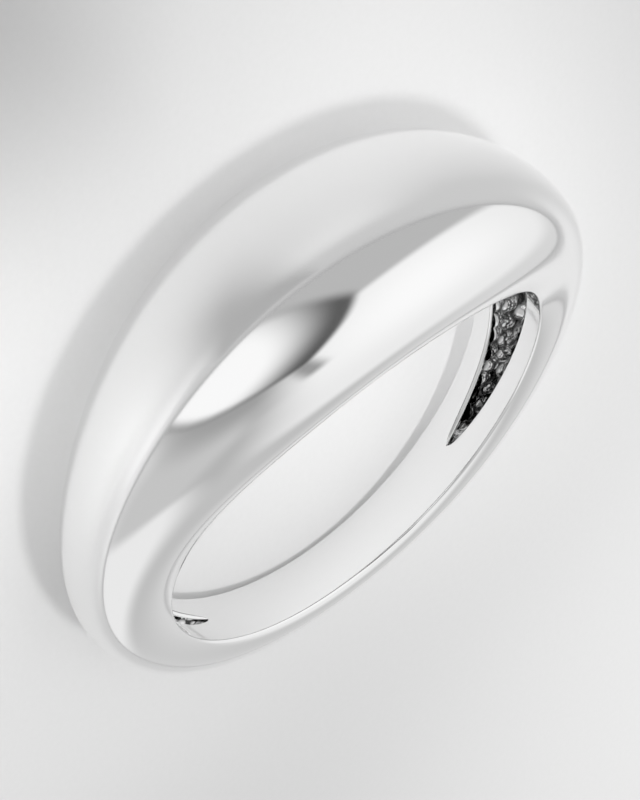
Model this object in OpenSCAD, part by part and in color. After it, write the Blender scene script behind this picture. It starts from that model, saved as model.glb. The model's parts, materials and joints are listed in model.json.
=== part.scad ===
// Dome ring: one cast and polished band that swells from a slim shank into a high smooth dome.
// The dome is hollowed from inside the bore by a long pointed recess with a pebbled floor.
// The ring lies on its side, on the dome's flank and the shank, with the dome towards +X.

/* [Bore] */
// Inside diameter of the band
bore_d = 17.3; // [15.3:0.1:21.3]
// Bevel of the bore's two rims
rim_bevel = 0.12; // [0.06:0.01:0.2]

/* [Skin] */
// Sections from the dome's crown to the back of the shank: angle, rise over the bore, half width
sections = [
    [0, 3.68, 4.13],
    [30, 3.68, 3.72],
    [60, 3.39, 2.63],
    [90, 2.85, 1.80],
    [120, 2.32, 1.39],
    [150, 1.96, 1.20],
    [180, 1.70, 1.13],
]; // equal steps of angle, sizes in mm
// Share of the rise at which a section is widest
widest_share = 0.285; // [0.2:0.005:0.35]
// How much the skin's round sections lean towards a square
skin_square = 0.023; // [0:0.001:0.05]

/* [Recess] */
// Angle from the crown to each pointed tip of the recess
tip_angle = 136.7; // [110:0.1:150]
// How bluntly the recess narrows into its tips
tip_power = 16; // [8:2:24]
// Width of the bore wall left beside the recess
margin = 0.67; // [0.5:0.01:1]
// Metal left between the recess and the skin's crown line
crown_wall = 1.1; // [0.8:0.05:1.5]
// Bevel of the recess's edge
edge_bevel = 0.1; // [0.05:0.01:0.15]
// How much the recess's round sections lean towards a square
recess_square = 0.05; // [0:0.005:0.08]
// How high the pebbles stand on the recess's floor
pebble_rise = 0.14; // [0:0.01:0.2]

/* [Hidden] */

bore_r = bore_d / 2;
// Depths to which the skin and the recess's cutter reach into the open bore
overlap = 0.3;
recess_overlap = 0.15;
// Steps round the skin and across it
skin_steps = 120;
skin_rows = 24;
// Steps along the recess and across it
recess_steps = 104;
recess_rows = 22;
// How much closer the recess's steps lie towards its tips
step_crowding = 0.25;
// Rows at each side of the recess that stay smooth
smooth_rows = 3;
// How many sides the bore's cylinder has in a preview
bore_sides = 180;
// Rounds of the two solutions that are found by repetition
square_tries = 12;
lean_tries = 8;
// Columns of the section table
angle_col = 0;
rise_col = 1;
half_col = 2;
stations = len(sections) - 1;

function sum(list) = list * [for (item = list) 1];

// The cosine series through the table's rows keeps the skin's curvature even all round
function end_weight(i) = i == 0 || i == stations ? 0.5 : 1;
function series(col) = [
    for (k = [0 : stations])
        2 / stations * end_weight(k)
        * sum([
            for (i = [0 : stations])
                end_weight(i) * sections[i][col] * cos(k * sections[i][angle_col])
        ])
];
function along(waves, angle) = sum([for (k = [0 : stations]) waves[k] * cos(k * angle)]);
rise_waves = series(rise_col);
half_waves = series(half_col);

// A sine or cosine x, pushed out towards a square
function squared(x, square) = (x * (1 + 3 * square) - 4 * square * pow(x, 3)) / (1 - square);
// The x that squared() takes to y
function unsquared(y, square, x = 0, tries = square_tries) =
    tries == 0
        ? x
        : let (nearer = (y * (1 - square) + 4 * square * pow(x, 3)) / (1 + 3 * square))
          unsquared(y, square, nearer, tries - 1);

// A point at a height over the bore's axis and a side distance from its middle plane
function polar(angle, height, side) = [height * cos(angle), height * sin(angle), side];

// The section's own angle at which the skin comes down to a given height over the bore
function foot_turn(rise, height) =
    asin(unsquared((height - widest_share * rise) / ((1 - widest_share) * rise), skin_square));
function skin_height(rise, turn) =
    bore_r + rise * (widest_share + (1 - widest_share) * squared(sin(turn), skin_square));
function skin_side(half, turn) = half * squared(cos(turn), skin_square);
// Half the width of the bore wall, from the middle plane to the rim's bevel
function bore_half(angle) =
    skin_side(along(half_waves, angle), foot_turn(along(rise_waves, angle), rim_bevel)) - rim_bevel;

// One section of the skin, from rim to rim, closed by two points inside the bore
function skin_section(angle) =
    let (
        rise = along(rise_waves, angle),
        half = along(half_waves, angle),
        foot = foot_turn(rise, rim_bevel),
        lip = bore_half(angle) - overlap
    )
    concat(
        [for (j = [0 : skin_rows])
            let (turn = foot + (180 - 2 * foot) * j / skin_rows)
            polar(angle, skin_height(rise, turn), skin_side(half, turn))],
        [polar(angle, bore_r - overlap, -lip), polar(angle, bore_r - overlap, lip)]
    );

// How far the recess is still open at an angle, from 1 over most of it to 0 at its tips
function openness(angle) = sqrt(max(0, 1 - pow(abs(angle) / tip_angle, tip_power)));
function recess_half(angle) = (bore_half(angle) - margin) * openness(angle);
function recess_depth(angle) = (along(rise_waves, angle) - crown_wall) * openness(angle);
function recess_angle(i) =
    let (u = 2 * i / recess_steps - 1)
    tip_angle * u * (1 + step_crowding * (1 - u * u));
// Every other point of the floor stands up as a pebble
function pebble(i, j) =
    j > smooth_rows && j < recess_rows - smooth_rows && (i + j) % 2 == 0 ? pebble_rise : 0;

// One section of the recess's cutter, with its bevelled edge reaching into the open bore
function recess_section(i) =
    let (
        angle = recess_angle(i),
        open = openness(angle),
        half = recess_half(angle) - edge_bevel * open,
        depth = recess_depth(angle),
        foot = edge_bevel * open,
        flare = half + foot + recess_overlap * open
    )
    concat(
        [polar(angle, bore_r - recess_overlap, flare)],
        [for (j = [0 : recess_rows])
            let (
                turn = 180 * j / recess_rows,
                bump = pebble(i, j) * open,
                rise = (depth - foot - bump) * squared(sin(turn), recess_square),
                side = (half - bump) * squared(cos(turn), recess_square)
            )
            polar(angle, bore_r + foot + rise, side)],
        [polar(angle, bore_r - recess_overlap, -flare)]
    );

// Triangles between neighbouring sections of n points each, whose first points are a and b.
// Where turned is 1 or 0 the quads' diagonals alternate, so that each pebble keeps its own peak.
function strip(a, b, n, turned = undef) = [
    for (j = [0 : n - 1])
        let (k = (j + 1) % n)
        each turned != undef && (j + turned) % 2 == 0
            ? [[a + j, b + j, a + k], [b + j, b + k, a + k]]
            : [[a + j, b + j, b + k], [a + j, b + k, a + k]]
];

module skin() {
    n = skin_rows + 3;
    points = [for (i = [0 : skin_steps - 1]) each skin_section(360 * i / skin_steps)];
    faces = [for (i = [0 : skin_steps - 1]) each strip(i * n, (i + 1) % skin_steps * n, n)];
    polyhedron(points, faces);
}

module recess() {
    n = recess_rows + 3;
    last = recess_steps - 1;
    rings = [for (i = [1 : last]) each recess_section(i)];
    tips = [for (angle = [-tip_angle, tip_angle]) polar(angle, bore_r - recess_overlap, 0)];
    first_tip = len(rings);
    polyhedron(
        concat(rings, tips),
        concat(
            [for (i = [0 : last - 2]) each strip(i * n, (i + 1) * n, n, i % 2)],
            [for (j = [0 : n - 1]) [first_tip, j, (j + 1) % n]],
            [for (j = [0 : n - 1]) [first_tip + 1, (last - 1) * n + (j + 1) % n, (last - 1) * n + j]]
        )
    );
}

// The height above the floor's plane of a point of the ring, once the ring is leant by lean degrees
function leant(point, lean) = point[0] * sin(lean) + point[2] * cos(lean);
function lowest(angle, lean) = min([for (point = skin_section(angle)) leant(point, lean)]);
// The lean at which the dome's flank and the shank's back both touch the floor
span = 2 * bore_r + widest_share * (sections[0][rise_col] + sections[stations][rise_col]);
function rest_lean(lean, tries) =
    tries == 0 ? lean : rest_lean(lean + asin((lowest(180, lean) - lowest(0, lean)) / span), tries - 1);
lean = rest_lean(0, lean_tries);
outline = [for (i = [0 : skin_steps - 1]) each skin_section(360 * i / skin_steps)];
floor_drop = min([for (point = outline) leant(point, lean)]);
reach = [for (point = outline) point[0] * cos(lean) - point[2] * sin(lean)];
middle = (max(reach) + min(reach)) / 2;

module dome_band() {
    color("silver")
    translate([-middle, 0, -floor_drop])
    rotate([0, -lean, 0])
    difference() {
        skin();
        rotate([0, 0, 180])
            cylinder(h = 4 * sections[0][half_col], r = bore_r, center = true, $fn = bore_sides);
        recess();
    }
}

dome_band();
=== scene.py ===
# %% [markdown]
# A dome ring, cast in one piece
#
# This lesson dresses one finger ring: a slim shank that swells into a high smooth dome.
# The dome is hollowed from inside the bore by a long pointed recess with a pebbled floor.
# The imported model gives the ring's place, its bore and its box, and is never changed here.
# The work is one polished surface, so nearly all of it is a precise form, a finish and a studio.

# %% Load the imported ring
import json
import math
from collections import namedtuple

import bpy
from mathutils import Matrix, Vector


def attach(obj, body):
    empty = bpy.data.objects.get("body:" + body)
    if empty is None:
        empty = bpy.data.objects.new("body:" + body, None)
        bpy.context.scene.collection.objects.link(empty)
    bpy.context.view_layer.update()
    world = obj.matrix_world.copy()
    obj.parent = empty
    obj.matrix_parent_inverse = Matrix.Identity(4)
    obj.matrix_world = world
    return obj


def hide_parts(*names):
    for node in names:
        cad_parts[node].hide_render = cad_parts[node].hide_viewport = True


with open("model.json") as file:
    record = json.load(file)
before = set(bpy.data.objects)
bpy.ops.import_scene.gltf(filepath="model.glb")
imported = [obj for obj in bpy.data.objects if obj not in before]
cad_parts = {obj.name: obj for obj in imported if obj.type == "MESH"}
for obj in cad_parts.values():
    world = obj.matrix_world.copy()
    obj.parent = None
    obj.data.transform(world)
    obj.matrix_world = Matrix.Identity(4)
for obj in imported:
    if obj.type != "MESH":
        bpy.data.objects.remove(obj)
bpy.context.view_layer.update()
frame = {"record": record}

# %% [markdown]
# The ring's own frame
#
# The ring lies on its side, so its bore's axis leans a few degrees from upright.
# A ring is drawn most simply about its own bore, with the dome towards +X and the axis along +Z.
# The record's mount says where the bore is and how it leans, so one matrix takes the drawing there.
# The drawing is in millimetres, because that is how a jeweller measures, and the matrix scales it.

# %% Find the bore's place and lean
MM = 0.001
mount = next(m for m in frame["record"]["mounts"] if m["name"] == "finger_bore")
bore_centre = Vector(mount["pos_m"])
bore_axis = Vector(mount["axis"]).normalized()
bore_radius = mount["dims"]["r_mm"]
lean = math.atan2(-bore_axis.x, bore_axis.z)
ring_to_row = Matrix.Translation(bore_centre) @ Matrix.Rotation(-lean, 4, "Y") @ Matrix.Scale(MM, 4)
print(f"the bore: {2 * bore_radius:.2f} mm across, leaning {math.degrees(lean):.2f} degrees")

# %% [markdown]
# The sections
#
# A goldsmith would check this ring with a few card templates held across it.
# The table holds such sections at equal steps of angle, from the dome's crown to the shank's back:
# how far the skin rises over the bore, and half its width.
# Straight lines or loose curves between them would show as bands in a mirror finish.
# A cosine series passes through every row and bends evenly all the way round, so it is used here.
# The other sizes are in millimetres too, apart from the shares, the powers and the angles.

# %% State the sections and the recess
Section = namedtuple("Section", "angle rise half")
SECTIONS = [
    Section(0, 3.68, 4.13),
    Section(30, 3.68, 3.72),
    Section(60, 3.39, 2.63),
    Section(90, 2.85, 1.80),
    Section(120, 2.32, 1.39),
    Section(150, 1.96, 1.20),
    Section(180, 1.70, 1.13),
]
SIZES = {
    # The bore and the skin
    "Bore Radius": bore_radius,
    "Rim Rounding": 0.12,
    "Widest Share": 0.285,
    "Skin Square": 0.023,
    # The recess
    "Tip Angle": math.radians(136.7),
    "Tip Power": 16.0,
    "Margin": 0.62,
    "Crown Wall": 1.1,
    "Edge Rounding": 0.1,
    "Recess Square": 0.05,
    # The pebbles on the recess's floor, and the smooth strip and tips that they leave free
    "Pebble Spacing": 0.66,
    "Pebble Radius": 0.5,
    "Pebble Height": 0.22,
    "Smooth Border": 0.08,
    "Smooth Tip": math.radians(5),
}
PEBBLE_SEED = 7


def cosine_series(column):
    """The weights of cos(0), cos(angle), cos(2 angle) and so on that pass through the table's rows."""
    last = len(SECTIONS) - 1
    ends = [0.5 if i in (0, last) else 1.0 for i in range(last + 1)]
    return [
        2 / last * ends[k] * sum(
            ends[i] * getattr(row, column) * math.cos(k * math.radians(row.angle))
            for i, row in enumerate(SECTIONS)
        )
        for k in range(last + 1)
    ]


rise_waves = cosine_series("rise")
half_waves = cosine_series("half")
print("rise, as waves:", [round(w, 4) for w in rise_waves])

# %% [markdown]
# Formulas as nodes
#
# Geometry Nodes works out a formula at every vertex at once, but a long formula is hard to read there.
# The class below lets a node's output take part in ordinary arithmetic, and adds the math nodes.
# So a rule can be written as it would be on paper, and the tree still holds it as nodes.

# %% Add a node, and do arithmetic with nodes
def add_node(tree, kind, inputs=None, **settings):
    """Adds one node with its settings, and fills or links its inputs."""
    node = tree.nodes.new(kind)
    for name, value in settings.items():
        setattr(node, name, value)
    for name, value in (inputs or {}).items():
        sources = value if isinstance(value, list) else [value]
        for source in sources:
            source = getattr(source, "socket", source)
            if isinstance(source, bpy.types.NodeSocket):
                tree.links.new(source, node.inputs[name])
            else:
                node.inputs[name].default_value = source
    return node


class Field:
    """A number at every vertex, held in a node's output."""

    def __init__(self, socket):
        self.socket = socket

    def math(self, operation, *others):
        """This number and the others, put through a math node."""
        terms = dict(enumerate((self, *others)))
        tree = self.socket.id_data
        return Field(add_node(tree, "ShaderNodeMath", terms, operation=operation).outputs[0])

    def __add__(self, other):
        return self.math("ADD", other)

    def __sub__(self, other):
        return self.math("SUBTRACT", other)

    def __mul__(self, other):
        return self.math("MULTIPLY", other)

    def __truediv__(self, other):
        return self.math("DIVIDE", other)

    def __pow__(self, other):
        return self.math("POWER", other)

    def __rsub__(self, other):
        return self * -1 + other

    __radd__ = __add__
    __rmul__ = __mul__


print("formulas can hold numbers at every vertex, with + - * / and **")

# %% [markdown]
# The rules of the section
#
# Across the band the skin is nearly half an ellipse, pressed a little towards a square.
# It is widest a little above the bore, and its foot comes back in to meet the bore's rim.
# The recess is the same kind of curve, seen from inside, and it closes at two points.
# Each rule is stated once, and every strip of the surface is drawn from it.

# %% State the rule of the curve
def squared(x, square):
    """A sine or cosine, pushed out towards a square."""
    return x * ((1 + 3 * square) - 4 * square * x * x) / (1 - square)


def squared_slope(x, square):
    """How fast squared() grows with x."""
    return ((1 + 3 * square) - 12 * square * x * x) / (1 - square)


def unsquared(y, square, tries=6):
    """The sine or cosine that squared() takes to y, found by repetition."""
    x = y
    for _ in range(tries):
        x = (y * (1 - square) + 4 * square * x * x * x) / (1 + 3 * square)
    return x


def along(waves, angle):
    """A size of the section at an angle from the crown."""
    total = waves[0]
    for k, wave in enumerate(waves[1:], 1):
        total = (angle * k).math("COSINE") * wave + total
    return total


pushed = squared(math.sin(math.pi / 4), SIZES["Skin Square"])
print(f"the sine of 45 degrees, {math.sin(math.pi / 4):.4f}, is pushed out to {pushed:.4f}")

# %% [markdown]
# The class below gathers the rules of one section: the skin, the bore's wall and the recess.
# Its numbers are Fields, so what is written once for a section holds at every vertex of a strip.
# The rounding of the recess's edge grows late along the recess, so its tips open like a scoop.

# %% State the rules of one section
ROUNDING_GROWTH = 2
GROWTH_POWER = 4


class Band:
    """The section of the ring at each vertex's angle, in millimetres."""

    def __init__(self, size, angle):
        self.size = size
        self.angle = angle
        self.rise = along(rise_waves, angle)
        self.half = along(half_waves, angle)
        share = size["Widest Share"]
        low = (size["Rim Rounding"] - share * self.rise) / ((1 - share) * self.rise)
        self.foot = unsquared(low, size["Skin Square"]).math("ARCSINE")
        self.bore_half = self.skin(self.foot)[1] - size["Rim Rounding"]

    def skin(self, turn):
        """Height over the bore and distance from the middle plane, at a turn of the section."""
        share, square = self.size["Widest Share"], self.size["Skin Square"]
        height = self.rise * (share + (1 - share) * squared(turn.math("SINE"), square))
        return height, self.half * squared(turn.math("COSINE"), square)

    def skin_lean(self, turn):
        """How far the skin moves sideways for each step that it rises."""
        share, square = self.size["Widest Share"], self.size["Skin Square"]
        sine, cosine = turn.math("SINE"), turn.math("COSINE")
        sideways = self.half * squared_slope(cosine, square) * sine * -1
        return sideways / (self.rise * (1 - share) * squared_slope(sine, square) * cosine)

    def way_to_tip(self):
        """0 at the crown and 1 at the recess's tips."""
        return self.angle.math("ABSOLUTE") / self.size["Tip Angle"]

    def openness(self):
        """1 along most of the recess, and 0 at its tips and beyond them."""
        return (1 - self.way_to_tip() ** self.size["Tip Power"]).math("MAXIMUM", 0).math("SQRT")

    def edge(self):
        """Where the recess starts on the bore's wall, and how large its rounding is there."""
        openness = self.openness()
        growth = 1 + ROUNDING_GROWTH * self.way_to_tip() ** GROWTH_POWER
        rounding = self.size["Edge Rounding"] * growth
        return (self.bore_half - self.size["Margin"]) * openness, rounding * openness

    def recess(self, turn):
        """Height and distance from the middle plane inside the recess, at a turn of its section."""
        start, rounding = self.edge()
        depth = (self.rise - self.size["Crown Wall"]) * self.openness()
        square = self.size["Recess Square"]
        height = rounding + (depth - rounding) * squared(turn.math("SINE"), square)
        return height, (start - rounding) * squared(turn.math("COSINE"), square)


print("the rounding of the recess's edge grows", 1 + ROUNDING_GROWTH, "times over to its tips")

# %% [markdown]
# The tree and its inputs
#
# One Geometry Nodes tree draws the whole ring. Each size above is a named input of it, beside the
# seed and the two metals, so the ring can be resized on the modifier with no change to the nodes.

# %% Start the tree
tree = bpy.data.node_groups.new("dome_ring", "GeometryNodeTree")
tree.interface.new_socket("Geometry", in_out="OUTPUT", socket_type="NodeSocketGeometry")
for name in SIZES:
    tree.interface.new_socket(name, in_out="INPUT", socket_type="NodeSocketFloat")
tree.interface.new_socket("Seed", in_out="INPUT", socket_type="NodeSocketInt")
for name in ("Polished Metal", "Cast Metal"):
    tree.interface.new_socket(name, in_out="INPUT", socket_type="NodeSocketMaterial")
group = add_node(tree, "NodeGroupInput")
size = {name: Field(group.outputs[name]) for name in SIZES}
print("the tree's sizes:", ", ".join(size))

# %% [markdown]
# The surface, strip by strip
#
# Half of the ring's section is walked from the crown, over the flank, round the rim, along the bore's
# wall, over the recess's edge and up into the recess. Each stretch is one grid: its columns go round
# the ring, its rows go along the section, and both take their places from the rules.
# Neighbours share their last and first rows, so that merging close points welds one closed skin.
# The columns crowd together towards the recess's tips, where the outline turns fastest.

# %% Lay the grids
OPEN_STEPS = 480
CLOSED_STEPS = 120
TIP_CROWDING = 0.3
WELD = 0.0002
ROWS = {"skin": 20, "rim": 6, "wall": 4, "edge": 5, "recess": 52}
# Keeps a column that falls on the recess's tip on the recess's side of it
TIP_SLACK = 0.0001


def grid_place():
    """Each vertex's share of the way round, from -1 to 1, and of the way along the section."""
    position = add_node(tree, "GeometryNodeInputPosition")
    apart = add_node(tree, "ShaderNodeSeparateXYZ", {0: position.outputs[0]})
    return Field(apart.outputs["X"]) * 2, Field(apart.outputs["Y"]) + 0.5


def crowded(way):
    """A share of the recess's length, with smaller steps towards its tips."""
    return way * ((1 + TIP_CROWDING) - TIP_CROWDING * way * way)


def angle_round(way):
    """The angle of each column of a strip that goes right round the ring."""
    open_share = OPEN_STEPS / (OPEN_STEPS + CLOSED_STEPS)
    size_of_way = way.math("ABSOLUTE")
    beyond = size_of_way.math("GREATER_THAN", open_share + TIP_SLACK)
    past_tip = (size_of_way - open_share) / (1 - open_share)
    closed = size["Tip Angle"] + (math.pi - size["Tip Angle"]) * past_tip
    inside = size["Tip Angle"] * crowded((size_of_way / open_share).math("MINIMUM", 1))
    return way.math("SIGN") * (beyond * closed + (1 - beyond) * inside)


def strip(name, all_round, section):
    """One grid of the surface. section(band, share) gives the height and side of its rows."""
    steps = OPEN_STEPS + CLOSED_STEPS if all_round else OPEN_STEPS
    vertices = {"Size X": 1.0, "Size Y": 1.0, "Vertices X": steps + 1, "Vertices Y": ROWS[name] + 1}
    grid = add_node(tree, "GeometryNodeMeshGrid", vertices)
    way, share = grid_place()
    angle = angle_round(way) if all_round else size["Tip Angle"] * crowded(way)
    height, side = section(Band(size, angle), share)
    radius = size["Bore Radius"] + height
    spot = add_node(tree, "ShaderNodeCombineXYZ",
                    {"X": radius * angle.math("COSINE"), "Y": radius * angle.math("SINE"), "Z": side})
    placed = add_node(tree, "GeometryNodeSetPosition",
                      {"Geometry": grid.outputs["Mesh"], "Position": spot.outputs[0]})
    return placed.outputs[0]


print("columns round the ring:", OPEN_STEPS, "along the recess and", CLOSED_STEPS, "past it")

# %% [markdown]
# Each rule below walks one stretch, as its share goes from 0 to 1, and gives a height over the bore
# and a distance from the middle plane.
# The two bends leave their neighbours without a kink, so the mirror finish runs over them unbroken.

# %% Draw the five strips of one side
def bend(start, corner, end, share):
    """A point on the smooth bend that leaves start towards corner and arrives at end from it."""
    back = 1 - share
    return tuple(
        back * back * a + 2 * back * share * b + share * share * c
        for a, b, c in zip(start, corner, end)
    )


def skin_strip(band, share):
    """From the crown, over the flank, down to the foot."""
    return band.skin(band.foot + (math.pi / 2 - band.foot) * (1 - share))


def rim_strip(band, share):
    """Round the rim, from the foot to the bore's wall."""
    rounding = band.size["Rim Rounding"]
    foot = band.skin(band.foot)
    corner = (0, foot[1] - rounding * band.skin_lean(band.foot))
    return bend(foot, corner, (0, band.bore_half), share)


def wall_strip(band, share):
    """Along the bore's wall, with its rows crowded at both ends."""
    crowded_share = 0.5 - (share * math.pi).math("COSINE") * 0.5
    edge = band.edge()[0]
    return 0, band.bore_half + (edge - band.bore_half) * crowded_share


def edge_strip(band, share):
    """Over the recess's edge, from the wall up into the recess."""
    start, rounding = band.edge()
    corner = (0, start - rounding)
    return bend((0, start), corner, (rounding, start - rounding), share)


def recess_strip(band, share):
    """Up the recess's side to the middle of its floor."""
    return band.recess(share * (math.pi / 2))


polished_strips = [
    strip("skin", True, skin_strip),
    strip("rim", True, rim_strip),
    strip("wall", True, wall_strip),
    strip("edge", False, edge_strip),
]
recess_half = strip("recess", False, recess_strip)
print("the ring's tree has", len(tree.nodes), "nodes so far")

# %% [markdown]
# The other side, and the weld
#
# The ring is the same on both sides of its middle plane, so the second side is a mirror image.
# A mirror image is inside out, and flipping its faces turns it right again.
# The recess is joined from its own two halves first, because the pebbles are scattered over it.

# %% Mirror and weld
def both_sides(parts):
    """The parts and their mirror images, welded into one surface."""
    side = add_node(tree, "GeometryNodeJoinGeometry", {0: parts})
    mirrored = add_node(tree, "GeometryNodeTransform", {"Geometry": side.outputs[0], "Scale": (1, 1, -1)})
    flipped = add_node(tree, "GeometryNodeFlipFaces", {"Mesh": mirrored.outputs[0]})
    joined = add_node(tree, "GeometryNodeJoinGeometry", {0: [side.outputs[0], flipped.outputs[0]]})
    welded = add_node(tree, "GeometryNodeMergeByDistance",
                      {"Geometry": joined.outputs[0], "Distance": WELD})
    return welded.outputs[0]


recess = both_sides([recess_half])
print("points closer than", WELD, "mm are welded")

# %% [markdown]
# Pebbles
#
# The recess's floor is left as it was cast: a close scatter of round pebbles, which tumbling
# has made glossy. Points are scattered over it with a least distance between them and a fixed seed.
# Each vertex then measures how far it is from the nearest point, and rises as the cap of a ball there.
# Where two caps meet they leave a crease, as packed pebbles do, so no pebble has to be cut or joined.
# They fade out before the recess's edge and in its two tips, which are smooth, bright scoops.

# %% Scatter the pebbles and shape them
# Points that the scatter tries on each square millimetre before it thins them to their distance
POINTS_TRIED = 20.0


def pebble_cap(recess):
    """How high the nearest pebble stands at each vertex, from 0 to 1."""
    points = add_node(tree, "GeometryNodeDistributePointsOnFaces",
                      {"Mesh": recess, "Distance Min": size["Pebble Spacing"],
                       "Density Max": POINTS_TRIED, "Seed": group.outputs["Seed"]},
                      distribute_method="POISSON")
    nearest = add_node(tree, "GeometryNodeProximity", {0: points.outputs["Points"]},
                       target_element="POINTS")
    apart = Field(nearest.outputs["Distance"])
    radius, height = size["Pebble Radius"], size["Pebble Height"]
    ball = (radius * radius - apart * apart).math("MAXIMUM", 0).math("SQRT")
    return (ball - (radius - height)).math("MAXIMUM", 0) / height


def clear_of_edges():
    """0 at the recess's edge and in its tips, and 1 once a vertex is a little way inside it."""
    position = add_node(tree, "GeometryNodeInputPosition")
    place = add_node(tree, "ShaderNodeSeparateXYZ", {0: position.outputs[0]})
    x, y = Field(place.outputs["X"]), Field(place.outputs["Y"])
    over_bore = (x * x + y * y).math("SQRT") - size["Bore Radius"]
    up_inside = (over_bore - size["Edge Rounding"]) / size["Smooth Border"]
    before_tip = (size["Tip Angle"] - y.math("ARCTAN2", x).math("ABSOLUTE")) / size["Smooth Tip"]
    clear_of_tip = (before_tip * 2 - 1).math("MINIMUM", 1)
    return up_inside.math("MINIMUM", clear_of_tip).math("MAXIMUM", 0).math("MINIMUM", 1)


cap, inside = pebble_cap(recess), clear_of_edges()
print("the pebbles: balls of", SIZES["Pebble Radius"], "mm, at least", SIZES["Pebble Spacing"], "mm apart")

# %% [markdown]
# The relief is kept as an attribute before anything moves, and only then lifts the vertices.
# A second attribute is 1 on the pebbles and the smooth border, and 0 in the creases between pebbles, where
# tumbling never reaches. The cast metal's material reads it to make the creases rougher and to darken them
# with painted shade.
# A third marks the recess's faces, so that they can be given the cast metal later.

# %% Mark the recess and raise the pebbles
for name, domain, value in (
    ("relief", "POINT", cap * inside),
    ("polish_and_painted_shade", "POINT", 1 - inside * (1 - cap)),
    ("as_cast", "FACE", 1.0),
):
    marked = add_node(tree, "GeometryNodeStoreNamedAttribute",
                      {"Geometry": recess, "Name": name, "Value": value},
                      data_type="FLOAT", domain=domain)
    recess = marked.outputs[0]
normal = add_node(tree, "GeometryNodeInputNormal")
relief = add_node(tree, "GeometryNodeInputNamedAttribute", {"Name": "relief"}, data_type="FLOAT")
rise = Field(relief.outputs[0]) * size["Pebble Height"]
lift = add_node(tree, "ShaderNodeVectorMath", {0: normal.outputs[0], "Scale": rise}, operation="SCALE")
pebbled = add_node(tree, "GeometryNodeSetPosition", {"Geometry": recess, "Offset": lift.outputs[0]})
print("the pebbles rise by up to", SIZES["Pebble Height"], "mm")

# %% [markdown]
# The ring put together
#
# The polished strips and the pebbled recess are welded along the recess's edge into one skin.
# All of it is given the polished metal first. The faces marked as cast are then given the cast metal,
# as a polisher works everything that the wheel can reach and leaves the rest.

# %% End the tree
parts = [both_sides(polished_strips), pebbled.outputs[0]]
whole = add_node(tree, "GeometryNodeJoinGeometry", {0: parts})
welded = add_node(tree, "GeometryNodeMergeByDistance", {"Geometry": whole.outputs[0], "Distance": WELD})
smooth = add_node(tree, "GeometryNodeSetShadeSmooth", {"Geometry": welded.outputs[0]})
dressed = add_node(tree, "GeometryNodeRealizeInstances", {"Geometry": smooth.outputs[0]})
as_cast = add_node(tree, "GeometryNodeInputNamedAttribute", {"Name": "as_cast"}, data_type="FLOAT")
for metal, where in (("Polished Metal", {}), ("Cast Metal", {"Selection": as_cast.outputs[0]})):
    dressed = add_node(tree, "GeometryNodeSetMaterial",
                       {"Geometry": dressed.outputs[0], "Material": group.outputs[metal], **where})
add_node(tree, "NodeGroupOutput", {"Geometry": dressed.outputs[0]})
print("the finished tree has", len(tree.nodes), "nodes")

# %% [markdown]
# Materials
#
# The colours below are sRGB hex values, as a colour picker gives them, and a shader wants linear ones.
# Patterns are sized in millimetres and read Object coordinates, so they stay put on the object.
# At this distance a pixel covers 0.036 mm, and a pattern finer than two pixels would only show as noise.

# %% Two helpers for materials
FINEST = 0.07 * MM


def linear(hex_colour):
    """An sRGB hex colour as the linear colour that a shader takes."""
    channels = [int(hex_colour[i:i + 2], 16) / 255 for i in (1, 3, 5)]
    return *(c / 12.92 if c <= 0.04045 else ((c + 0.055) / 1.055) ** 2.4 for c in channels), 1.0


def new_material(name):
    """A material with its node tree and its main shader."""
    material = bpy.data.materials.new(name)
    material.use_nodes = True
    return material, material.node_tree, material.node_tree.nodes["Principled BSDF"]


print("the middle grey #808080 turns linear as", round(linear("#808080")[0], 3))

# %% [markdown]
# Mirror-polished metal
#
# The ring is silver, plated with rhodium and brought to a mirror finish on soft buffing wheels.
# Rhodium is a cold neutral white and reflects most of the light, so the base colour is nearly white.
# The wheel leaves two things behind. Hairlines run round the band, a few thousandths of a millimetre
# wide, and they are drawn as wide as the finest pattern that shows. And the surface waves a little,
# by less than a thousandth of a millimetre, which makes reflections swim as the ring turns.
# To run round the band, the hairlines read the direction from the bore's axis, shrunk so that a line
# becomes long, with the height along the axis and the distance from it at their full size.

# %% Make the polished metal
RHODIUM = "#F6F6F6"
POLISHED_ROUGHNESS = (0.07, 0.09)
# The values between which nearly all of a noise lies
NOISE_REACH = (0.3, 0.7)
HAIRLINE_LENGTH = 2.5 * MM
WAVE_LENGTH = 1.6 * MM
WAVE_HEIGHT = 0.0006 * MM


def round_the_bore(tree):
    """Coordinates that are stretched along the band: a vector, and the distance from the bore's axis."""
    place = add_node(tree, "ShaderNodeTexCoord").outputs["Object"]
    centred = add_node(tree, "ShaderNodeMapping",
                       {"Vector": place, "Location": bore_centre, "Rotation": (0, -lean, 0)},
                       vector_type="TEXTURE")
    apart = add_node(tree, "ShaderNodeSeparateXYZ", {0: centred.outputs[0]})
    x, y = Field(apart.outputs["X"]), Field(apart.outputs["Y"])
    distance = (x * x + y * y).math("SQRT")
    shrink = FINEST / HAIRLINE_LENGTH * bore_radius * MM
    stretched = add_node(tree, "ShaderNodeCombineXYZ",
                         {"X": x / distance * shrink, "Y": y / distance * shrink,
                          "Z": apart.outputs["Z"]})
    return stretched.outputs[0], distance


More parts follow.
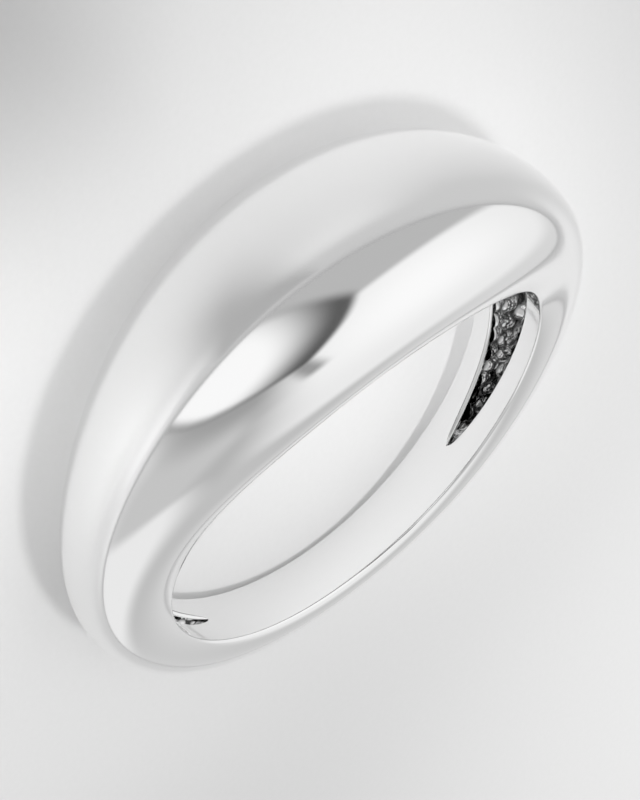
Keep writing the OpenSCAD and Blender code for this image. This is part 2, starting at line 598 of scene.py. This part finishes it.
def polished_rhodium():
    """The mirror finish, with hairlines round the band and a slight wave of the surface."""
    material, nodes, shader = new_material("rhodium_plated_silver_mirror_polished")
    shader.inputs["Base Color"].default_value = linear(RHODIUM)
    shader.inputs["Metallic"].default_value = 1.0
    stretched, distance = round_the_bore(nodes)
    hairlines = add_node(nodes, "ShaderNodeTexNoise",
                         {"Vector": stretched, "W": distance, "Scale": 1 / FINEST, "Detail": 1.0},
                         noise_dimensions="4D")
    roughness = add_node(nodes, "ShaderNodeMapRange",
                         {"Value": hairlines.outputs[0],
                          "From Min": NOISE_REACH[0], "From Max": NOISE_REACH[1],
                          "To Min": POLISHED_ROUGHNESS[0], "To Max": POLISHED_ROUGHNESS[1]})
    nodes.links.new(roughness.outputs[0], shader.inputs["Roughness"])
    place = add_node(nodes, "ShaderNodeTexCoord").outputs["Object"]
    waves = add_node(nodes, "ShaderNodeTexNoise",
                     {"Vector": place, "Scale": 1 / WAVE_LENGTH, "Detail": 1.0})
    swim = add_node(nodes, "ShaderNodeBump",
                    {"Height": waves.outputs[0], "Distance": WAVE_HEIGHT, "Strength": 1.0})
    nodes.links.new(swim.outputs[0], shader.inputs["Normal"])
    return material


polished_metal = polished_rhodium()
print(polished_metal.name, "with", len(polished_metal.node_tree.nodes), "nodes")

# %% [markdown]
# Metal as cast
#
# Inside the recess the same metal keeps the skin of its plaster mould, glossed by tumbling with steel
# shot. The shot rounds the tops and never reaches the creases, so those stay rougher, and they are
# darkened with painted shade.
# A fine grain from the plaster, 0.02 mm across, is drawn several times as coarse, so that it shows.
# It breaks each highlight into the small rings and specks that make the recess sparkle.

# %% Make the cast metal
# The creases' dark colour is painted shade, standing in for light that does not reach them.
PAINTED_CREASE_SHADE, PEBBLE_TOP = "#707070", "#EAEAEA"
CREASE_ROUGHNESS, PEBBLE_ROUGHNESS = 0.12, 0.035
# The share of the mask from which a pebble has its full colour; below it the creases are darkened with
# painted shade
FULL_COLOUR_FROM = 0.5
GRAIN_WIDTH = 2 * FINEST
GRAIN_HEIGHT = 0.004 * MM


def cast_rhodium():
    """The same metal as it came from the mould, rougher in the creases between pebbles, which are darkened
    with painted shade.
    """
    material, nodes, shader = new_material("rhodium_plated_silver_as_cast")
    shader.inputs["Metallic"].default_value = 1.0
    polish_and_painted_shade = add_node(nodes, "ShaderNodeAttribute", attribute_name="polish_and_painted_shade")
    place = add_node(nodes, "ShaderNodeTexCoord").outputs["Object"]
    grain = add_node(nodes, "ShaderNodeTexNoise",
                     {"Vector": place, "Scale": 1 / GRAIN_WIDTH, "Detail": 2.0})
    # The ramp darkens the creases from the mask: painted shade.
    shade = add_node(nodes, "ShaderNodeValToRGB", {0: polish_and_painted_shade.outputs["Fac"]})
    shade.color_ramp.elements[0].color = linear(PAINTED_CREASE_SHADE)
    shade.color_ramp.elements[1].color = linear(PEBBLE_TOP)
    shade.color_ramp.elements[1].position = FULL_COLOUR_FROM
    nodes.links.new(shade.outputs["Color"], shader.inputs["Base Color"])
    roughness = add_node(nodes, "ShaderNodeMapRange",
                         {"Value": polish_and_painted_shade.outputs["Fac"],
                          "To Min": CREASE_ROUGHNESS, "To Max": PEBBLE_ROUGHNESS})
    nodes.links.new(roughness.outputs[0], shader.inputs["Roughness"])
    skin = add_node(nodes, "ShaderNodeBump", {"Height": grain.outputs[0], "Distance": GRAIN_HEIGHT})
    nodes.links.new(skin.outputs[0], shader.inputs["Normal"])
    return material


cast_metal = cast_rhodium()
print(cast_metal.name, "with", len(cast_metal.node_tree.nodes), "nodes")

# %% [markdown]
# From the tree to a mesh
#
# The tree hangs on an empty mesh as a modifier, and each of its inputs is filled by its identifier.
# What it draws is then taken as a plain mesh, carried from the ring's own frame into the packed
# model's, and given to the new piece. Slots that ended up without a material are taken out.

# %% Evaluate the tree
def drawn_mesh(tree, values, name):
    """The mesh that a tree draws, with the tree's inputs set to the values."""
    holder = bpy.data.objects.new(name, bpy.data.meshes.new(name))
    bpy.context.scene.collection.objects.link(holder)
    modifier = holder.modifiers.new(name, "NODES")
    modifier.node_group = tree
    for item in tree.interface.items_tree:
        if item.in_out == "INPUT":
            modifier[item.identifier] = values[item.name]
    drawn = holder.evaluated_get(bpy.context.evaluated_depsgraph_get())
    mesh = bpy.data.meshes.new_from_object(drawn)
    bpy.data.objects.remove(holder)
    return mesh


values = {**SIZES, "Seed": PEBBLE_SEED, "Polished Metal": polished_metal, "Cast Metal": cast_metal}
mesh = drawn_mesh(tree, values, "dome_band_polished")
mesh.transform(ring_to_row)
print("slots:", [material and material.name for material in mesh.materials])
while None in list(mesh.materials):
    mesh.materials.pop(index=list(mesh.materials).index(None))
cast_slot = list(mesh.materials).index(cast_metal)
cast_faces = sum(face.material_index == cast_slot for face in mesh.polygons)
print(len(mesh.vertices), "vertices,", len(mesh.polygons), "faces,", cast_faces, "of them as cast")

# %% [markdown]
# The finished piece
#
# The dressed ring stands for the imported one and rides on the one body there is. It sits at the origin,
# because its place is already in its mesh.

# %% Put the piece in the scene
ring = bpy.data.objects.new("dome_band_polished", mesh)
bpy.context.scene.collection.objects.link(ring)
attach(ring, "root")
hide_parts("dome_band")
mesh.calc_loop_triangles()
print(ring.name, "has", len(mesh.loop_triangles), "triangles")

# %% [markdown]
# The camera
#
# The photograph was taken from above the dome's flank, from some distance and with the camera rolled
# far over, so that the dome lies to the upper left and the shank to the lower right. The angles below
# are measured in the ring's own frame: round the bore's axis from the dome, up from the ring's middle
# plane, and the roll. The distance and the aim are in millimetres, and the scale is in pixels to a
# millimetre at the ring's centre. The aim is a small turn away from that centre.

# %% State the view
PHOTO_HEIGHT = 800
SENSOR = 36.0
VIEW_AZIMUTH = math.radians(24.3)
VIEW_ELEVATION = math.radians(25.68)
VIEW_ROLL = math.radians(133.5)
VIEW_DISTANCE = 116.5
SCALE_AT_CENTRE = 27.77
AIM_RIGHT, AIM_UP = -0.342, 1.266
LENS = SCALE_AT_CENTRE * VIEW_DISTANCE * SENSOR / PHOTO_HEIGHT
print(f"a {LENS:.0f} mm lens, {VIEW_DISTANCE} mm from the ring's centre")

# %% [markdown]
# A camera looks along its own -Z with +Y up, so its turn is the matrix whose columns are the
# directions right, up and back. They are found from the angles first, then nudged to the aim.

# %% Turn and place the camera
def direction(azimuth, elevation):
    """The unit vector towards a place in the sky, both angles in radians."""
    level = math.cos(elevation)
    return Vector((level * math.cos(azimuth), level * math.sin(azimuth), math.sin(elevation)))


def rolled(towards, roll):
    """The camera's right and up, when it looks back along towards and is rolled over."""
    level = Vector((0, 0, 1)).cross(towards).normalized()
    above = towards.cross(level)
    return (math.cos(roll) * level + math.sin(roll) * above,
            -math.sin(roll) * level + math.cos(roll) * above)


def camera_turn(eye):
    """The camera's turn in the ring's own frame, aimed a little beside the ring's centre."""
    right, up = rolled(eye.normalized(), VIEW_ROLL)
    back = (eye - right * AIM_RIGHT - up * AIM_UP).normalized()
    right = (right - back * right.dot(back)).normalized()
    return Matrix((right, back.cross(right), back)).transposed().to_4x4()


eye = direction(VIEW_AZIMUTH, VIEW_ELEVATION) * VIEW_DISTANCE
data = bpy.data.cameras.new("camera")
data.sensor_width = SENSOR
data.lens = LENS
data.clip_start = 1 * MM
camera = bpy.data.objects.new("camera", data)
bpy.context.scene.collection.objects.link(camera)
leant = Matrix.Rotation(-lean, 4, "Y")
camera.matrix_world = Matrix.Translation(ring_to_row @ eye) @ leant @ camera_turn(eye)
bpy.context.scene.camera = camera
print(f"the camera stands {camera.location.z / MM:.1f} mm over the floor")

# %% [markdown]
# The floor
#
# The ring lies on a sheet of pale matt board. A mirror shows what is round it, so over half of what
# is seen on this ring is the board below it, and the board's tone counts as much as the metal's.
# Board is pressed from short fibres, and a matt coating leaves only a faint tooth: it is drawn as a
# fine noise that moves the tone by about a hundredth and stands up by a few thousandths of a millimetre.

# %% Lay the floor
FLOOR_WIDTH = 2.0
TOOTH_WIDTH = 0.25 * MM
TOOTH_HEIGHT = 0.003 * MM
BOARD_DARK, BOARD_PALE = "#C6C6C6", "#CACACA"
BOARD_ROUGHNESS = (0.85, 0.95)


def matt_board():
    """Pale board with a matt coating and a faint tooth."""
    material, nodes, shader = new_material("pale_matt_board")
    place = add_node(nodes, "ShaderNodeTexCoord").outputs["Object"]
    tooth = add_node(nodes, "ShaderNodeTexNoise",
                     {"Vector": place, "Scale": 1 / TOOTH_WIDTH, "Detail": 3.0})
    tone = add_node(nodes, "ShaderNodeValToRGB", {0: tooth.outputs[0]})
    tone.color_ramp.elements[0].color = linear(BOARD_DARK)
    tone.color_ramp.elements[1].color = linear(BOARD_PALE)
    nodes.links.new(tone.outputs["Color"], shader.inputs["Base Color"])
    roughness = add_node(nodes, "ShaderNodeMapRange",
                         {"Value": tooth.outputs[0],
                          "To Min": BOARD_ROUGHNESS[0], "To Max": BOARD_ROUGHNESS[1]})
    nodes.links.new(roughness.outputs[0], shader.inputs["Roughness"])
    bump = add_node(nodes, "ShaderNodeBump", {"Height": tooth.outputs[0], "Distance": TOOTH_HEIGHT})
    nodes.links.new(bump.outputs[0], shader.inputs["Normal"])
    return material


bpy.ops.mesh.primitive_plane_add(size=FLOOR_WIDTH, location=(0, 0, 0))
floor = bpy.context.object
floor.name = "floor"
floor.data.materials.append(matt_board())
print("the floor is", FLOOR_WIDTH, "m wide")

# %% [markdown]
# A tent of light
#
# A polished ring has no look of its own: its tones are the studio's, bent over its curves.
# Jewellery is photographed in a tent of white cloth for that reason, with a few panels outside it.
# Each panel below lies inside one or more round caps of the sky, and fades out at their edges.
# Where caps overlap they leave lens and wedge shapes, like a softbox cut off by a flag.
# A bright window hangs over a dark flag and leaves a margin of it, which draws the one dark arc that
# gives the dome its depth. A cap's middle is stated by its degrees round from the dome and up from
# the floor, and its reach and the softness of its edge are in degrees too.

# %% State the panels
Cap = namedtuple("Cap", "azimuth elevation reach softness")
Panel = namedtuple("Panel", "name colour caps")
TENT_COLOUR = "#D4D4D4"
RIGHT_HALF = Cap(112, 0, 90, 4)
SOFTBOX_FOOT = Cap(-167, 60, 90, 3)
FLAG_LEFT, FLAG_RIGHT, FLAG_FOOT = Cap(40, 5, 57, 3), Cap(-5, -5, 68, 3), Cap(50, 45, 56, 4)
PANELS = [
    Panel("right wall", "#C3C3C3", [RIGHT_HALF, Cap(110, 60, 60, 8)]),
    Panel("ceiling", "#A5A5A5", [RIGHT_HALF, Cap(60, 76, 16, 10)]),
    Panel("back wall", "#BEBEBE", [Cap(-178, 26, 24, 12)]),
    Panel("back corner", "#B4B4B4", [Cap(158, 62, 24, 10)]),
    Panel("wall beside the flag", "#9E9E9E", [RIGHT_HALF, Cap(20, 22, 50, 14)]),
    Panel("gap below the softbox", "#B6B6B6", [Cap(-30, 0, 55, 8)]),
    Panel("softbox", "#EAEAEA", [SOFTBOX_FOOT, Cap(-60, 60, 70, 7), Cap(-80, 15, 90, 15)]),
    Panel("softbox heart", "#F9F9F9", [SOFTBOX_FOOT, Cap(-60, 50, 35, 30)]),
    Panel("flag's stand", "#969696", [Cap(112, 0, 93, 3), Cap(-68, 0, 95, 3), Cap(24, 68, 12, 6)]),
    Panel("flag", "#5A5A5A", [FLAG_LEFT, FLAG_RIGHT, FLAG_FOOT]),
    Panel("window", "#F8F8F8", [Cap(40, 10, 33, 16), Cap(-5, -5, 66, 4), FLAG_FOOT]),
    Panel("side lamp", "#E8E8E8", [Cap(165, 5, 46, 5), Cap(135, 0, 42, 8)]),
]
TENT_STRENGTH = 1.09
print("the panels, in the order they are hung:", ", ".join(panel.name for panel in PANELS))

# %% [markdown]
# The panels are far away, so they can live in the world's own shader instead of as objects.
# A cap is the angle between where a ray looks and the cap's middle, turned into a share from 0 to 1.
# Each panel is then laid over the colour so far by its share, as cloth is hung over cloth.
# A Mix node has sockets of one name for each type of data, so those for a colour go by number.

# %% Hang the panels in the world
MIX_UNDER, MIX_OVER, MIX_RESULT = 6, 7, 2


def cap_share(tree, looking, cap):
    """1 inside a cap of the sky and 0 outside it, with a smooth edge between."""
    middle = direction(math.radians(cap.azimuth), math.radians(cap.elevation))
    aligned = add_node(tree, "ShaderNodeVectorMath", {0: looking, 1: middle}, operation="DOT_PRODUCT")
    apart = Field(aligned.outputs["Value"]).math("ARCCOSINE")
    inner, outer = (math.radians(cap.reach + side * cap.softness) for side in (-1, 1))
    fade = add_node(tree, "ShaderNodeMapRange",
                    {"Value": apart, "From Min": inner, "From Max": outer, "To Min": 1.0, "To Max": 0.0},
                    interpolation_type="SMOOTHSTEP")
    return Field(fade.outputs[0])


def tent_of_light():
    """A world whose background is the tent's cloth with the panels laid over it."""
    world = bpy.data.worlds.new("tent_of_light")
    world.use_nodes = True
    tree = world.node_tree
    looking = add_node(tree, "ShaderNodeTexCoord").outputs["Generated"]
    colour = linear(TENT_COLOUR)
    for panel in PANELS:
        share = cap_share(tree, looking, panel.caps[0])
        for cap in panel.caps[1:]:
            share = share * cap_share(tree, looking, cap)
        mixed = add_node(tree, "ShaderNodeMix",
                         {0: share, MIX_UNDER: colour, MIX_OVER: linear(panel.colour)},
                         data_type="RGBA")
        colour = mixed.outputs[MIX_RESULT]
    cloth = tree.nodes["Background"]
    tree.links.new(colour, cloth.inputs["Color"])
    cloth.inputs["Strength"].default_value = TENT_STRENGTH
    print(len(PANELS), "panels in", len(tree.nodes), "nodes")
    return world


bpy.context.scene.world = tent_of_light()
bpy.context.scene.view_settings.view_transform = "Standard"

# %% [markdown]
# Lamps overhead
#
# One broad lamp high above lights the board round the ring and gives the ring the short soft shadow
# that sets its outline off from the board. Over half of the ring mirrors the board, and an evenly
# lit board would leave that half flat, so narrow lamps lay soft pools of light round the ring.
# A place on the ring is brightened by following its mirror ray down to the board and lighting the
# board there: beside a flank, farther out for the upper dome, and inside the bore for its wall.
# A studio lays such light with reflector cards, which throw hardly a shadow, so the narrow lamps
# throw none. Mirror rays see no lamp, or each would be a hard spot in the metal.
# A lamp's place is stated by its degrees round from the dome and its distance from the ring's middle.

# %% Set the lamps
Lamp = namedtuple("Lamp", "name azimuth distance pool_radius watts")
BROAD_LAMP = Lamp("overhead", 0, 0, 300, 3.2)
NARROW_LAMPS = [
    Lamp("over_the_ring", 90, 10, 25, 2.5),
    Lamp("under_the_dome", 45, 5, 10, 3.0),
    Lamp("in_the_bore", -120, 10, 10, 4.5),
    Lamp("in_front", -15, 30, 15, 3.5),
    Lamp("left_flank", 60, 20, 10, 5.5),
    Lamp("left_far", 60, 45, 25, 4.5),
    Lamp("left_beyond", 90, 90, 80, 4.5),
    Lamp("right_flank", -45, 10, 15, 4.0),
    Lamp("right_far", -135, 50, 45, 4.0),
]
LAMP_HEIGHT = 500
BROAD_RADIUS = 50
NARROW_RADIUS = 8


def hang(lamp, radius, shadow):
    """A spot lamp straight above its pool, whose light fades from the middle to the edge."""
    light = bpy.data.lights.new(lamp.name, "SPOT")
    light.energy = lamp.watts
    light.shadow_soft_size = radius * MM
    light.use_shadow = shadow
    light.spot_size = 2 * math.atan(lamp.pool_radius / LAMP_HEIGHT)
    light.spot_blend = 1.0
    hung = bpy.data.objects.new(lamp.name, light)
    place = direction(math.radians(lamp.azimuth), 0) * lamp.distance
    hung.location = (place.x * MM, place.y * MM, LAMP_HEIGHT * MM)
    hung.visible_glossy = False
    bpy.context.scene.collection.objects.link(hung)


hang(BROAD_LAMP, BROAD_RADIUS, True)
for lamp in NARROW_LAMPS:
    hang(lamp, NARROW_RADIUS, False)
print("a broad lamp and", len(NARROW_LAMPS), "narrow ones")

# %% [markdown]
# A flag under the broad lamp
#
# On the real ring a soft dark stem runs down the dome and parts a bright left side from a grey middle.
# It can only be the mirror image of something darker in front of the ring. A studio makes one with a
# flag, a card hung between the lamp and the board, whose soft-edged shadow widens away from the ring.
# Only its shadow matters, so the camera, mirror rays and scattered light don't meet the card itself.

# %% Hang the flag
FLAG_HEIGHT = 40
FLAG_SHADOW = [(13, 6.5), (100, -15), (100, 62)]


def shadow_flag():
    """A card that shades the given stretch of the board from the broad lamp above the ring."""
    shrink = 1 - FLAG_HEIGHT / LAMP_HEIGHT
    corners = [(x * shrink * MM, y * shrink * MM, FLAG_HEIGHT * MM) for x, y in FLAG_SHADOW]
    card = bpy.data.meshes.new("shadow_flag")
    card.from_pydata(corners, [], [range(len(corners))])
    flag = bpy.data.objects.new("shadow_flag", card)
    bpy.context.scene.collection.objects.link(flag)
    flag.visible_camera = False
    flag.visible_glossy = False
    flag.visible_diffuse = False
    return flag


flag = shadow_flag()
print("the flag hangs", FLAG_HEIGHT, "mm over the board")
